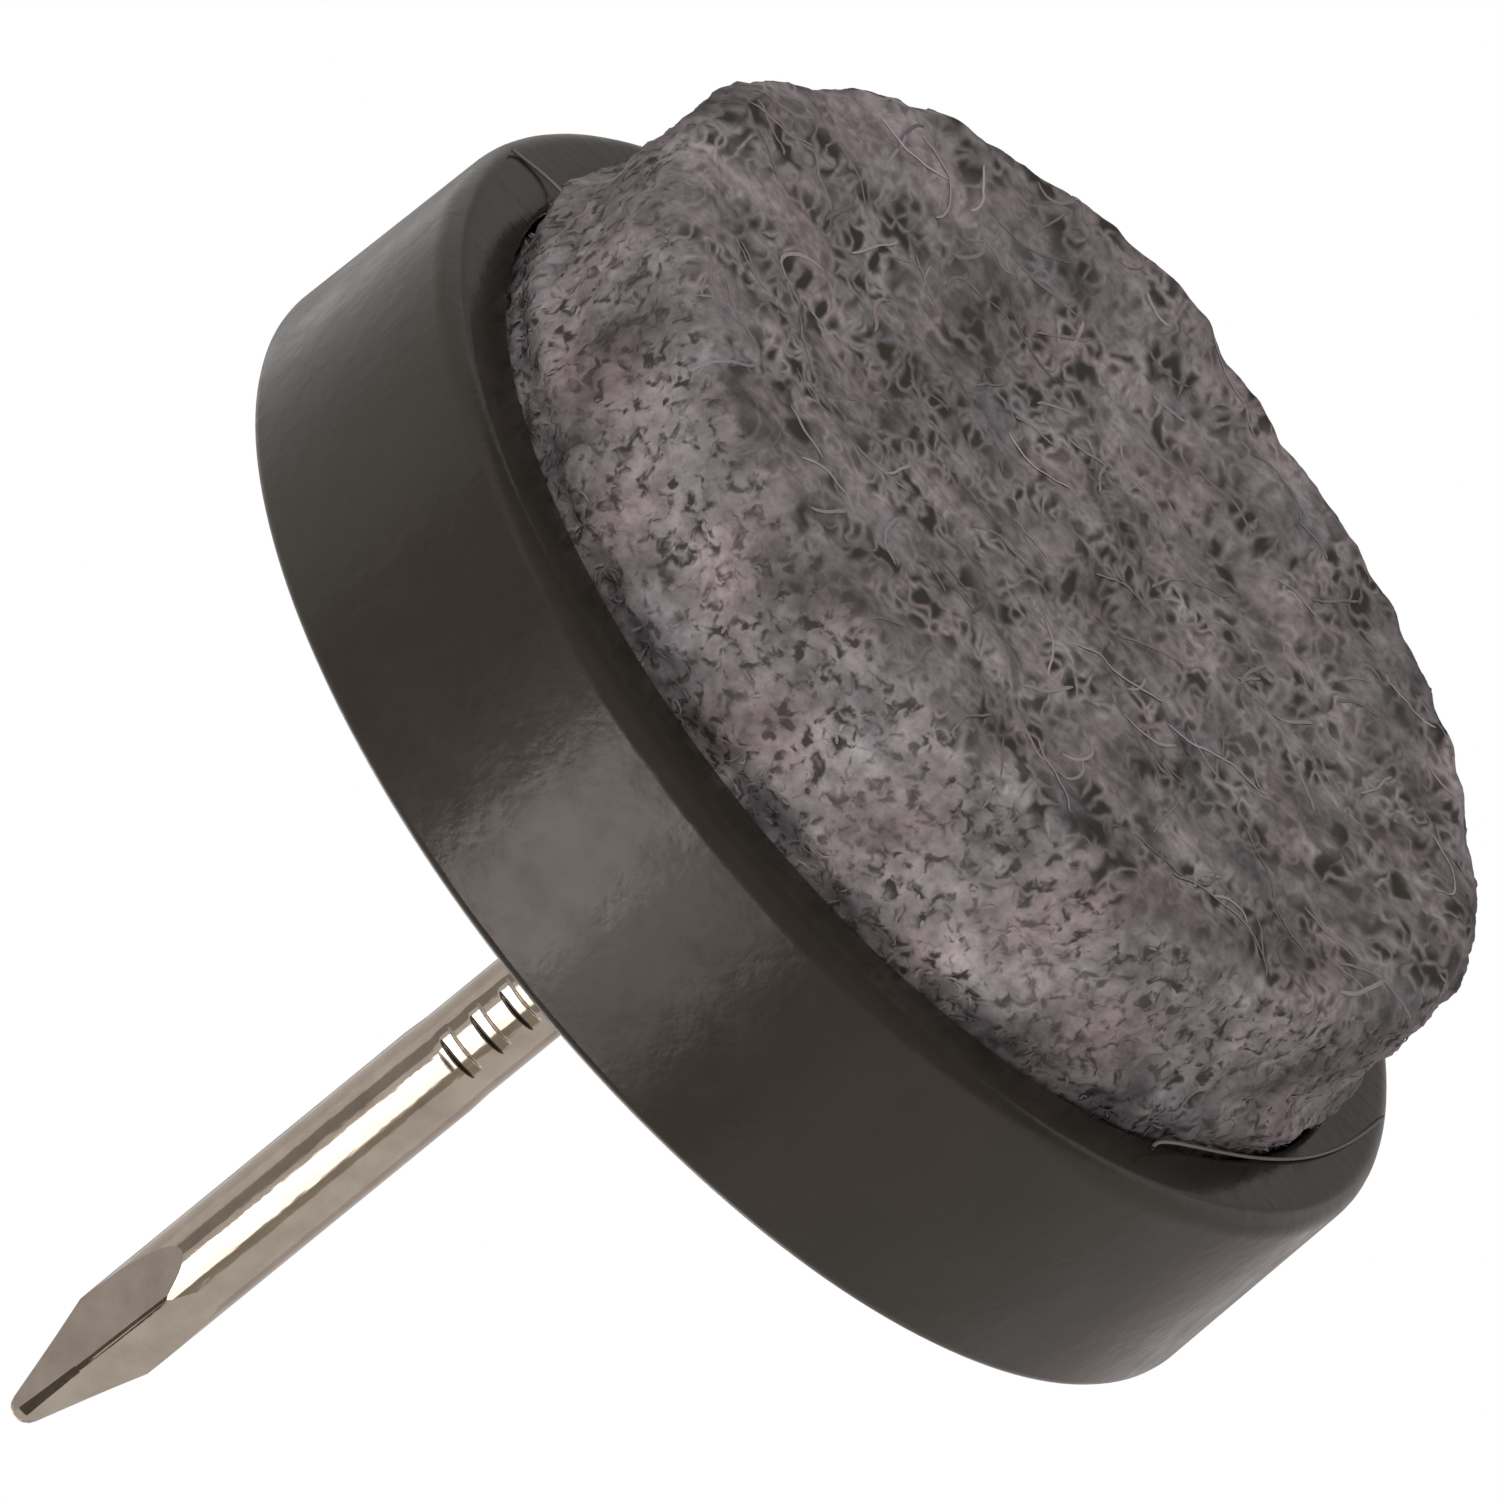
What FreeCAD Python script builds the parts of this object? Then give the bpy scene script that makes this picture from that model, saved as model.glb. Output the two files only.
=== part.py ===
"""Nail-on furniture glide: a moulded plastic base with a felt pad under it and a nail up through it.

The glide stands on its felt with the nail pointing up, the way it is driven into a chair leg.
Millimetres, +Z up along the nail, origin at the centre of the felt's sole.
"""

import FreeCAD, Part
import os
import Sketcher

doc = FreeCAD.newDocument("nail_on_glide")
sheet = doc.addObject("Spreadsheet::Sheet", "sizes")

# Driving dimensions in millimetres, and one in degrees: name, value, meaning.
SIZES = [
    ("base_diameter", 28.0, "width of the base on the side that meets the leg"),
    ("base_height", 5.55, "height of the base from its felt rim to its leg face"),
    ("draft_angle", 1.5, "moulding draft of the side wall, in degrees"),
    ("leg_edge_bevel", 0.25, "bevel of the edge at the leg face"),
    ("rim_edge_radius", 0.5, "rounding of the edge at the felt rim"),
    ("rim_land", 1.7, "width of the rim between the side wall and the felt recess"),
    ("recess_depth", 1.5, "depth of the recess that holds the felt"),
    ("felt_clearance", 0.15, "gap between the felt's edge and the recess wall"),
    ("felt_proud", 4.4, "height of the felt that stands out of the rim"),
    ("felt_taper", 0.4, "how much the felt's radius shrinks from the rim to the sole"),
    ("felt_edge_radius", 0.9, "rounding of the felt's edge at the sole"),
    ("head_diameter", 5.0, "width of the nail's flat head"),
    ("head_thickness", 0.9, "thickness of the nail's head"),
    ("head_clearance", 0.1, "gap between the head's edge and its counterbore"),
    ("shank_diameter", 2.1, "wire diameter of the nail"),
    ("shank_clearance", 0.02, "gap between the shank and the hole in the base"),
    ("nail_reach", 20.85, "how far the nail's tip stands out of the leg face"),
    ("point_front_length", 5.3, "front and back ridges of the point, up to where they would meet"),
    ("point_side_length", 3.5, "left and right ridges of the point, up to where they would meet"),
    ("point_blunting", 0.6, "length between the blunt tip and where the ridges would meet"),
    ("tip_radius", 0.25, "rounding of the blunt tip"),
    ("grip_squeeze", 0.03, "radius that the wire loses where the nail machine's dies hold it"),
    ("grip_release", 0.6, "length over which the squeezed wire runs out to its full width"),
    ("grip_mark_depth", 0.18, "depth of a grip mark in the wire"),
    ("grip_mark_width", 0.4, "width of a grip mark at the wire's surface"),
    ("grip_mark_floor", 0.16, "width of a grip mark at its floor"),
    ("grip_mark_pitch", 0.85, "spacing of the grip marks along the wire"),
    ("grip_mark_count", 9, "grip marks on each of two opposite sides of the wire"),
    ("grip_mark_reach", 7.48, "height of the outermost grip mark above the leg face"),
    ("cut_margin", 0.3, "how far a cut's outline runs clear of the wire"),
]
for row, (name, value, meaning) in enumerate(SIZES, start=1):
    sheet.set(f"A{row}", meaning)
    sheet.set(f"B{row}", str(value))
    sheet.setAlias(f"B{row}", name)
doc.recompute()

# Sizes that follow from the driving ones, as expressions that the features are bound to.
BASE_RADIUS = "sizes.base_diameter / 2"
RIM_RADIUS = f"({BASE_RADIUS} - sizes.base_height * tan(sizes.draft_angle))"
RECESS_RADIUS = f"({RIM_RADIUS} - sizes.rim_land)"
FELT_RADIUS = f"({RECESS_RADIUS} - sizes.felt_clearance)"
SOLE_RADIUS = f"({FELT_RADIUS} - sizes.felt_taper)"
FELT_THICKNESS = "(sizes.felt_proud + sizes.recess_depth)"
HEAD_RADIUS = "sizes.head_diameter / 2"
SHANK_RADIUS = "sizes.shank_diameter / 2"
LEG_FACE = "(sizes.base_height - sizes.recess_depth)"
NAIL_LENGTH = f"({LEG_FACE} + sizes.nail_reach)"
TIP_FLAT = "sizes.tip_radius / 2"
GRIP_RADIUS = f"({SHANK_RADIUS} - sizes.grip_squeeze)"
LAST_MARK = f"({LEG_FACE} + sizes.grip_mark_reach)"
GRIP_END = f"({LAST_MARK} + sizes.grip_mark_pitch / 2)"
MARK_FLOOR = f"({GRIP_RADIUS} - sizes.grip_mark_depth)"
MARK_MOUTH = f"({GRIP_RADIUS} + sizes.cut_margin)"
MARK_SLOPE = "(sizes.grip_mark_width - sizes.grip_mark_floor) / sizes.grip_mark_depth"
MARK_OPENING = f"(sizes.grip_mark_width + sizes.cut_margin * {MARK_SLOPE})"
NOSE_START = f"({NAIL_LENGTH} - {SHANK_RADIUS} + {TIP_FLAT})"
RIDGES_MEET = f"({NAIL_LENGTH} + sizes.point_blunting)"
FACET_TURN = "atan(sizes.point_front_length / sizes.point_side_length)"
FACET_LENGTH = "sqrt(sizes.point_front_length ^ 2 + sizes.point_side_length ^ 2)"
FACET_WIDTH = f"({SHANK_RADIUS} + sizes.cut_margin)"
FACET_START = f"({RIDGES_MEET} - {FACET_WIDTH} / ({SHANK_RADIUS}) * {FACET_LENGTH})"

# Two edges closer than this, in millimetres, count as the same edge.
SAME_PLACE = 1e-6


def value_of(expression):
    """The number that an expression over the sheet comes to."""
    return float(sheet.evalExpression(expression))


def start_body(label, height):
    """An empty body whose own origin stands at a height given by an expression."""
    body = doc.addObject("PartDesign::Body", label)
    body.Label = label
    body.setExpression("Placement.Base.z", height)
    return body


def origin_feature(body, role):
    """A plane or an axis of the body's own origin."""
    return next(feature for feature in body.Origin.OriginFeatures if feature.Role == role)


def start_sketch(body, name, plane):
    """An empty sketch on one of the body's origin planes."""
    sketch = body.newObject("Sketcher::SketchObject", name)
    sketch.AttachmentSupport = [(origin_feature(body, plane), "")]
    sketch.MapMode = "FlatFace"
    return sketch


def hold_start(sketch, line, across, up):
    """Ties the start of a line to two expressions, measured from the sketch's origin."""
    for kind, axis, expression in (("DistanceX", -2, across), ("DistanceY", -1, up)):
        place = value_of(expression)
        if place == 0:
            sketch.addConstraint(Sketcher.Constraint("PointOnObject", line, 1, axis))
        else:
            number = sketch.addConstraint(Sketcher.Constraint(kind, -1, 1, line, 1, place))
            sketch.setExpression(f"Constraints[{number}]", expression)


def draw_outline(sketch, corners):
    """A closed outline of straight lines through corners given as pairs of expressions."""
    places = [FreeCAD.Vector(value_of(across), value_of(up), 0) for across, up in corners]
    for start, end in zip(places, places[1:] + places[:1]):
        sketch.addGeometry(Part.LineSegment(start, end))
    for line, (across, up) in enumerate(corners):
        following = (line + 1) % len(corners)
        sketch.addConstraint(Sketcher.Constraint("Coincident", line, 2, following, 1))
        hold_start(sketch, line, across, up)


def draw_circle(sketch, radius):
    """A circle of a bound radius about the sketch's origin."""
    circle = sketch.addGeometry(Part.Circle(FreeCAD.Vector(), FreeCAD.Vector(0, 0, 1), value_of(radius)))
    number = sketch.addConstraint(Sketcher.Constraint("Radius", circle, value_of(radius)))
    sketch.setExpression(f"Constraints[{number}]", radius)
    sketch.addConstraint(Sketcher.Constraint("Coincident", circle, 3, -1, 1))


def turn(body, name, corners):
    """A solid turned about the body's Z axis from a half section of radius and height."""
    section = start_sketch(body, f"{name}_section", "XZ_Plane")
    draw_outline(section, corners)
    solid = body.newObject("PartDesign::Revolution", name)
    solid.Profile = section
    solid.ReferenceAxis = (section, ["V_Axis"])
    solid.Angle = 360
    return solid


def ease_edge(body, name, kind, size, radius, height):
    """Fillets or chamfers the circular edge of a given radius and height on the body's last feature."""
    doc.recompute()
    solid = body.Tip
    edge_names = [
        f"Edge{number}"
        for number, edge in enumerate(solid.Shape.Edges, start=1)
        if isinstance(edge.Curve, Part.Circle)
        and abs(edge.Curve.Radius - value_of(radius)) < SAME_PLACE
        and abs(edge.Curve.Center.z - value_of(height)) < SAME_PLACE
    ]
    easing = body.newObject(f"PartDesign::{kind}", name)
    easing.Base = (solid, edge_names)
    easing.setExpression("Radius" if kind == "Fillet" else "Size", size)


def cut(body, name, sketch, depth=None, both_ways=False):
    """Cuts a sketch out of the body, upwards to a bound depth or right through it."""
    doc.recompute()
    before = body.Tip.Shape.Volume
    pocket = body.newObject("PartDesign::Pocket", name)
    pocket.Profile = sketch
    pocket.Reversed = True
    if depth:
        pocket.setExpression("Length", depth)
    else:
        pocket.Type = "ThroughAll"
    if both_ways:
        pocket.SideType = "Symmetric"
    doc.recompute()
    if not pocket.Shape.Volume < before:
        raise RuntimeError(f"{name} removes nothing")
    return pocket


def repeat(body, name, original, *patterns):
    """Repeats a cut by one pattern after another."""
    group = body.newObject("PartDesign::MultiTransform", name)
    group.Originals = [original]
    group.Transformations = list(patterns)
    body.Tip = group
    doc.recompute()
    if not group.Shape.Volume < original.Shape.Volume:
        raise RuntimeError(f"{name} repeats nothing")


def mirror(body, name, plane):
    """A mirror pattern about one of the body's origin planes."""
    pattern = body.newObject("PartDesign::Mirrored", name)
    pattern.MirrorPlane = (origin_feature(body, plane), [""])
    return pattern


def make_plastic_base():
    """The moulded base, from its felt rim at the bottom to its flat leg face on top."""
    body = start_body("plastic_base", "sizes.felt_proud")
    turn(body, "puck", [
        ("0", "0"),
        (RIM_RADIUS, "0"),
        (BASE_RADIUS, "sizes.base_height"),
        ("0", "sizes.base_height"),
    ])
    ease_edge(body, "rim_edge", "Fillet", "sizes.rim_edge_radius", RIM_RADIUS, "0")
    ease_edge(body, "leg_edge", "Chamfer", "sizes.leg_edge_bevel", BASE_RADIUS, "sizes.base_height")

    recess = start_sketch(body, "recess_outline", "XY_Plane")
    draw_circle(recess, RECESS_RADIUS)
    cut(body, "felt_recess", recess, depth="sizes.recess_depth")

    counterbore = start_sketch(body, "counterbore_outline", "XY_Plane")
    draw_circle(counterbore, f"{HEAD_RADIUS} + sizes.head_clearance")
    cut(body, "head_counterbore", counterbore, depth="sizes.recess_depth + sizes.head_thickness")

    hole = start_sketch(body, "nail_hole_outline", "XY_Plane")
    draw_circle(hole, f"{SHANK_RADIUS} + sizes.shank_clearance")
    cut(body, "nail_hole", hole)
    return body


def make_felt_pad():
    """The felt disc, glued in the recess, with its worn-round sole edge at the bottom."""
    body = start_body("felt_pad", "0")
    turn(body, "felt_disc", [
        ("0", "0"),
        (SOLE_RADIUS, "0"),
        (FELT_RADIUS, "sizes.felt_proud"),
        (FELT_RADIUS, FELT_THICKNESS),
        ("0", FELT_THICKNESS),
    ])
    ease_edge(body, "sole_edge", "Fillet", "sizes.felt_edge_radius", SOLE_RADIUS, "0")
    return body


def make_nail():
    """The wire nail, from its head in the counterbore up to its pinched diamond point."""
    body = start_body("nail", FELT_THICKNESS)
    turn(body, "wire", [
        ("0", "0"),
        (HEAD_RADIUS, "0"),
        (HEAD_RADIUS, "sizes.head_thickness"),
        (GRIP_RADIUS, "sizes.head_thickness"),
        (GRIP_RADIUS, GRIP_END),
        (SHANK_RADIUS, f"{GRIP_END} + sizes.grip_release"),
        (SHANK_RADIUS, NOSE_START),
        (TIP_FLAT, NAIL_LENGTH),
        ("0", NAIL_LENGTH),
    ])
    ease_edge(body, "tip_edge", "Fillet", "sizes.tip_radius", TIP_FLAT, NAIL_LENGTH)

    # Each of the point's four facets is a wedge cut across the wire, square to an upright plane
    # that stands turned about the nail.
    wedge = start_sketch(body, "facet_outline", "XZ_Plane")
    upright = FreeCAD.Vector(0, 1, 0)
    wedge.AttachmentOffset = FreeCAD.Placement(FreeCAD.Vector(), FreeCAD.Rotation(upright, 45))
    wedge.setExpression("AttachmentOffset.Rotation.Angle", FACET_TURN)
    draw_outline(wedge, [
        ("0", RIDGES_MEET),
        (FACET_WIDTH, FACET_START),
        (FACET_WIDTH, RIDGES_MEET),
    ])
    facet = cut(body, "point_facet", wedge, both_ways=True)
    repeat(
        body, "point_facets", facet,
        mirror(body, "facet_left_right", "YZ_Plane"),
        mirror(body, "facet_front_back", "XZ_Plane"),
    )

    # The grip marks are straight flat-bottomed notches across the front and back of the wire,
    # where the teeth of the nail machine's dies held it.
    tooth = start_sketch(body, "grip_tooth", "YZ_Plane")
    draw_outline(tooth, [
        (MARK_FLOOR, f"{LAST_MARK} - sizes.grip_mark_floor / 2"),
        (MARK_MOUTH, f"{LAST_MARK} - {MARK_OPENING} / 2"),
        (MARK_MOUTH, f"{LAST_MARK} + {MARK_OPENING} / 2"),
        (MARK_FLOOR, f"{LAST_MARK} + sizes.grip_mark_floor / 2"),
    ])
    mark = cut(body, "grip_mark", tooth, both_ways=True)
    row_of_marks = body.newObject("PartDesign::LinearPattern", "grip_mark_row")
    row_of_marks.Direction = (origin_feature(body, "Z_Axis"), [""])
    row_of_marks.Reversed = True
    row_of_marks.Mode = "Spacing"
    row_of_marks.setExpression("Offset", "sizes.grip_mark_pitch")
    row_of_marks.setExpression("Occurrences", "sizes.grip_mark_count")
    repeat(body, "grip_marks", mark, row_of_marks, mirror(body, "marks_front_back", "XZ_Plane"))
    return body


subparts = [make_plastic_base(), make_felt_pad(), make_nail()]
doc.recompute()
for item in doc.Objects:
    if "Invalid" in item.State or "Error" in item.State:
        raise RuntimeError(f"{item.Label} failed: {item.State}")
for body in subparts:
    if body.Shape.isNull() or not body.Shape.isValid() or len(body.Shape.Solids) != 1:
        raise RuntimeError(f"{body.Label} is not one valid solid")

os.makedirs("parts", exist_ok=True)
for body in subparts:
    body.Shape.exportStep(f"parts/{body.Label}.step")
    print(body.Label, "volume", round(body.Shape.Volume, 2), "cubic mm")
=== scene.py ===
"""Nail-on furniture glide: a moulded base, a felt pad under it and a nail standing up through it.

Lengths are metres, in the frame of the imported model: the felt's sole is at the bottom, the nail
points up.
"""

import math

import bmesh
import bpy
import numpy as np
from mathutils import Matrix, Vector, noise
from mathutils.bvhtree import BVHTree


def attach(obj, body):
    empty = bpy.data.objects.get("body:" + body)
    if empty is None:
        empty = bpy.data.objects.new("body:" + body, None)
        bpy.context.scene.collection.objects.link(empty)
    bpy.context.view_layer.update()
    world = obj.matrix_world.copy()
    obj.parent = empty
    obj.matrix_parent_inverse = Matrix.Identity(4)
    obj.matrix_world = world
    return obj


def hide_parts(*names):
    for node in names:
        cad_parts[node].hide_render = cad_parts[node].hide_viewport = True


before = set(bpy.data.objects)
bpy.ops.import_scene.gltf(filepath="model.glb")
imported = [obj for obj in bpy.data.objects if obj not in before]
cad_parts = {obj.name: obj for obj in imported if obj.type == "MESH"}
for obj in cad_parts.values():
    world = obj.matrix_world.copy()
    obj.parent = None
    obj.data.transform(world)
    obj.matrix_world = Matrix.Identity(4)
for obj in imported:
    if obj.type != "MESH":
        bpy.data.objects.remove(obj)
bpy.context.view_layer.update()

# The studio: a white surround, a pale floor under the felt and soft lamps. The photograph looks up at
# the felt from below floor level, rolled so that the nail points down to the left, so the floor
# shows only from above and lets everything else through.
MM = 0.001
scene = bpy.context.scene
scene.view_settings.view_transform = "Standard"

CAMERA_TURN = math.radians(6)
CAMERA_RISE = math.radians(-22.3)
CAMERA_ROLL = math.radians(-129.3)
CAMERA_DISTANCE = 500 * MM
PHOTO_PIXELS = 1500
PIXEL = MM / 49.1
RIM_CENTRE = Vector((0, 0, 4.4 * MM))
RIM_CENTRE_PIXEL = (928.5, 670.7)

aim = (
    Matrix.Rotation(CAMERA_TURN, 3, "Z")
    @ Matrix.Rotation(math.pi / 2 - CAMERA_RISE, 3, "X")
    @ Matrix.Rotation(CAMERA_ROLL, 3, "Z")
)
photo_right, photo_up, photo_back = aim.col[0], aim.col[1], aim.col[2]
middle = RIM_CENTRE
middle = middle + photo_right * (PHOTO_PIXELS / 2 - RIM_CENTRE_PIXEL[0]) * PIXEL
middle = middle - photo_up * (PHOTO_PIXELS / 2 - RIM_CENTRE_PIXEL[1]) * PIXEL
bpy.ops.object.camera_add(location=middle + photo_back * CAMERA_DISTANCE, rotation=aim.to_euler())
camera = bpy.context.object
camera.name = "photo_camera"
camera.data.lens = camera.data.sensor_width * CAMERA_DISTANCE / (PHOTO_PIXELS * PIXEL)
scene.camera = camera


def add_node(tree, kind, inputs=None, **settings):
    """A new node: each input is linked where it is given a socket and set where it is given a value."""
    made = tree.nodes.new(kind)
    for name, value in settings.items():
        setattr(made, name, value)
    for name, value in (inputs or {}).items():
        if isinstance(value, bpy.types.NodeSocket):
            tree.links.new(value, made.inputs[name])
        else:
            made.inputs[name].default_value = value
    return made


world = bpy.data.worlds.new("white_surround")
world.use_nodes = True
scene.world = world
sky = world.node_tree
sky.nodes.clear()
ray = add_node(sky, "ShaderNodeLightPath")
seen = add_node(sky, "ShaderNodeMath",
                {0: ray.outputs["Is Camera Ray"], 1: ray.outputs["Is Glossy Ray"]}, operation="MAXIMUM")
seen = add_node(sky, "ShaderNodeMath",
                {0: seen.outputs[0], 1: ray.outputs["Is Transmission Ray"]}, operation="MAXIMUM")
room_light = add_node(sky, "ShaderNodeBackground", {"Color": (1, 1, 1, 1), "Strength": 0.35})
white = add_node(sky, "ShaderNodeBackground", {"Color": (1, 1, 1, 1), "Strength": 1.0})
shown = add_node(sky, "ShaderNodeMixShader",
                 {0: seen.outputs[0], 1: room_light.outputs[0], 2: white.outputs[0]})
add_node(sky, "ShaderNodeOutputWorld", {"Surface": shown.outputs[0]})

FLOOR_WIDTH = 4.0
FLOOR_HEIGHT = -0.3 * MM
bpy.ops.mesh.primitive_plane_add(size=FLOOR_WIDTH, location=(0, 0, FLOOR_HEIGHT))
floor = bpy.context.object
floor.name = "pale_floor"
pale_paint = bpy.data.materials.new("pale_paint")
pale_paint.use_nodes = True
paint = pale_paint.node_tree
paint.nodes.clear()
ray = add_node(paint, "ShaderNodeLightPath")
side = add_node(paint, "ShaderNodeNewGeometry")
from_above = add_node(paint, "ShaderNodeMath",
                      {0: ray.outputs["Is Camera Ray"], 1: side.outputs["Backfacing"]},
                      operation="SUBTRACT", use_clamp=True)
through = add_node(paint, "ShaderNodeBsdfTransparent")
matt = add_node(paint, "ShaderNodeBsdfDiffuse", {"Color": (0.86, 0.86, 0.86, 1)})
shown = add_node(paint, "ShaderNodeMixShader",
                 {0: from_above.outputs[0], 1: through.outputs[0], 2: matt.outputs[0]})
add_node(paint, "ShaderNodeOutputMaterial", {"Surface": shown.outputs[0]})
floor.data.materials.append(pale_paint)

STAGE_CENTRE = Vector((0, 0, 12 * MM))
LAMP_COLOUR = (1.0, 0.96, 0.98)


def stage_place(azimuth, elevation, distance):
    """Where something stands on the stage, turned to face the glide; azimuth 0 is in front of it."""
    turn, rise = math.radians(azimuth), math.radians(elevation)
    away = Vector((math.sin(turn) * math.cos(rise), -math.cos(turn) * math.cos(rise), math.sin(rise)))
    return {
        "location": STAGE_CENTRE + away * distance,
        "rotation": away.to_track_quat("Z", "Y").to_euler(),
    }


for name, place, width, height, power in (
    ("front_lamp", stage_place(21.5, 22, 0.40), 0.163, 0.19, 0.68),
    ("side_lamp", stage_place(-1, 22, 0.40), 0.155, 0.19, 0.29),
    ("felt_lamp", stage_place(50, -45, 0.50), 0.50, 0.50, 2.0),
    ("fill_lamp", stage_place(-65, -5, 0.50), 0.30, 0.30, 1.2),
    ("overhead_lamp", stage_place(200, 65, 0.60), 0.50, 0.50, 1.2),
):
    bpy.ops.object.light_add(type="AREA", **place)
    lamp = bpy.context.object
    lamp.name = name
    lamp.data.shape = "RECTANGLE"
    lamp.data.size = width
    lamp.data.size_y = height
    lamp.data.energy = power
    lamp.data.color = LAMP_COLOUR
    lamp.visible_camera = False
    lamp.visible_glossy = name not in ("felt_lamp", "fill_lamp")

# Cards beside the front lamp and behind the glide, which only the shiny pieces reflect.
for name, place, width, height, tone in (
    ("dark_card", stage_place(-25, 22, 0.41), 0.12, 0.30, (0.53, 0.50, 0.43, 1)),
    ("grey_card", stage_place(66, 16, 0.41), 0.22, 0.30, (0.46, 0.44, 0.42, 1)),
    ("high_card", stage_place(67, 46, 0.41), 0.40, 0.22, (0.76, 0.74, 0.76, 1)),
    ("brow_card", stage_place(4, 47, 0.41), 0.40, 0.12, (0.16, 0.14, 0.12, 1)),
    ("low_card", stage_place(6, -60, 0.45), 1.20, 1.80, (0.16, 0.145, 0.14, 1)),
    ("right_card", stage_place(128, 22, 0.41), 0.30, 0.60, (0.88, 0.85, 0.84, 1)),
    ("left_card", stage_place(-134, 22, 0.41), 0.32, 0.60, (0.76, 0.70, 0.69, 1)),
    ("back_card", stage_place(-176, 0, 0.50), 0.40, 0.90, (0.50, 0.48, 0.47, 1)),
):
    bpy.ops.mesh.primitive_plane_add(size=1, **place)
    card = bpy.context.object
    card.name = name
    card.scale = (width, height, 1)
    card.visible_camera = False
    card.visible_diffuse = False
    card.visible_shadow = False
    card_face = bpy.data.materials.new(name)
    card_face.use_nodes = True
    card_face.node_tree.nodes.clear()
    glow = add_node(card_face.node_tree, "ShaderNodeEmission", {"Color": tone, "Strength": 1.0})
    add_node(card_face.node_tree, "ShaderNodeOutputMaterial", {"Surface": glow.outputs[0]})
    card.data.materials.append(card_face)


# The base: one round moulding of dark brown-black plastic with a satin skin, drafted for the mould, with
# a rounded rim round the felt's recess, a flat face for the leg and a hole for the nail. It is fixed
# to the leg by the nail alone.
WALL_SIDES = 192
BASE_BOTTOM, BASE_TOP = 4.4 * MM, 9.95 * MM
LEG_SIDE_RADIUS = 14 * MM
DRAFT = math.radians(1.5)
RIM_RADIUS = LEG_SIDE_RADIUS - (BASE_TOP - BASE_BOTTOM) * math.tan(DRAFT)
RIM_LAND = 1.7 * MM
RECESS_DEPTH = 1.5 * MM
COUNTERBORE_RADIUS, COUNTERBORE_DEPTH = 2.6 * MM, 0.9 * MM
NAIL_HOLE_RADIUS = 1.07 * MM
RIM_ROUND, LEG_ROUND, RECESS_ROUND = 0.5 * MM, 0.25 * MM, 0.15 * MM
SAME_PLACE = 0.01 * MM
SMOOTH_ANGLE = math.radians(40)


def start_piece(name):
    """Names the new primitive, puts its place into its mesh and opens it in edit mode."""
    piece = bpy.context.object
    piece.name = name
    piece.data.name = name
    bpy.ops.object.transform_apply(location=True, rotation=True, scale=True)
    bpy.ops.object.mode_set(mode="EDIT")
    return piece


def select(kind, fits):
    """Selects in edit mode only those vertices, edges or faces that fit."""
    bpy.ops.mesh.select_mode(type={"verts": "VERT", "edges": "EDGE", "faces": "FACE"}[kind])
    bpy.ops.mesh.select_all(action="DESELECT")
    mesh = bmesh.from_edit_mesh(bpy.context.edit_object.data)
    for item in getattr(mesh, kind):
        if fits(item):
            item.select_set(True)
    bmesh.update_edit_mesh(bpy.context.edit_object.data)


def ring_at(radius, height):
    """A test for the edges of the ring with that radius and height."""
    def fits(edge):
        return all(
            abs(end.co.z - height) < SAME_PLACE and abs(end.co.xy.length - radius) < SAME_PLACE
            for end in edge.verts
        )
    return fits


def cap_at(height):
    """A test for the flat faces round the axis at that height."""
    def fits(face):
        middle = face.calc_center_median()
        return abs(middle.z - height) < SAME_PLACE and middle.xy.length < SAME_PLACE
    return fits


bpy.ops.object.select_all(action="DESELECT")
bpy.ops.mesh.primitive_cylinder_add(
    vertices=WALL_SIDES, radius=LEG_SIDE_RADIUS, depth=BASE_TOP - BASE_BOTTOM,
    location=(0, 0, (BASE_TOP + BASE_BOTTOM) / 2),
)
base = start_piece("moulded_base")
select("edges", ring_at(LEG_SIDE_RADIUS, BASE_BOTTOM))
drafted = RIM_RADIUS / LEG_SIDE_RADIUS
bpy.ops.transform.resize(value=(drafted, drafted, 1))
select("faces", cap_at(BASE_BOTTOM))
bpy.ops.mesh.inset(thickness=RIM_LAND)
bpy.ops.mesh.extrude_region_move(TRANSFORM_OT_translate={"value": (0, 0, RECESS_DEPTH)})
bpy.ops.mesh.inset(thickness=RIM_RADIUS - RIM_LAND - COUNTERBORE_RADIUS)
bpy.ops.mesh.extrude_region_move(TRANSFORM_OT_translate={"value": (0, 0, COUNTERBORE_DEPTH)})
bpy.ops.mesh.inset(thickness=COUNTERBORE_RADIUS - NAIL_HOLE_RADIUS)
bpy.ops.mesh.delete(type="FACE")
select("faces", cap_at(BASE_TOP))
bpy.ops.mesh.inset(thickness=LEG_SIDE_RADIUS - NAIL_HOLE_RADIUS)
bpy.ops.mesh.delete(type="FACE")
select("edges", lambda edge: edge.is_boundary)
bpy.ops.mesh.bridge_edge_loops()
for radius, height, rounding, steps in (
    (RIM_RADIUS, BASE_BOTTOM, RIM_ROUND, 7),
    (LEG_SIDE_RADIUS, BASE_TOP, LEG_ROUND, 4),
    (RIM_RADIUS - RIM_LAND, BASE_BOTTOM, RECESS_ROUND, 3),
):
    select("edges", ring_at(radius, height))
    bpy.ops.mesh.bevel(offset=rounding, segments=steps, affect="EDGES")
bpy.ops.object.mode_set(mode="OBJECT")
bpy.ops.object.shade_smooth_by_angle(angle=SMOOTH_ANGLE)


def new_finish(name):
    """A new node material, with its node tree and its main shader."""
    material = bpy.data.materials.new(name)
    material.use_nodes = True
    return material, material.node_tree, material.node_tree.nodes["Principled BSDF"]


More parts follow.
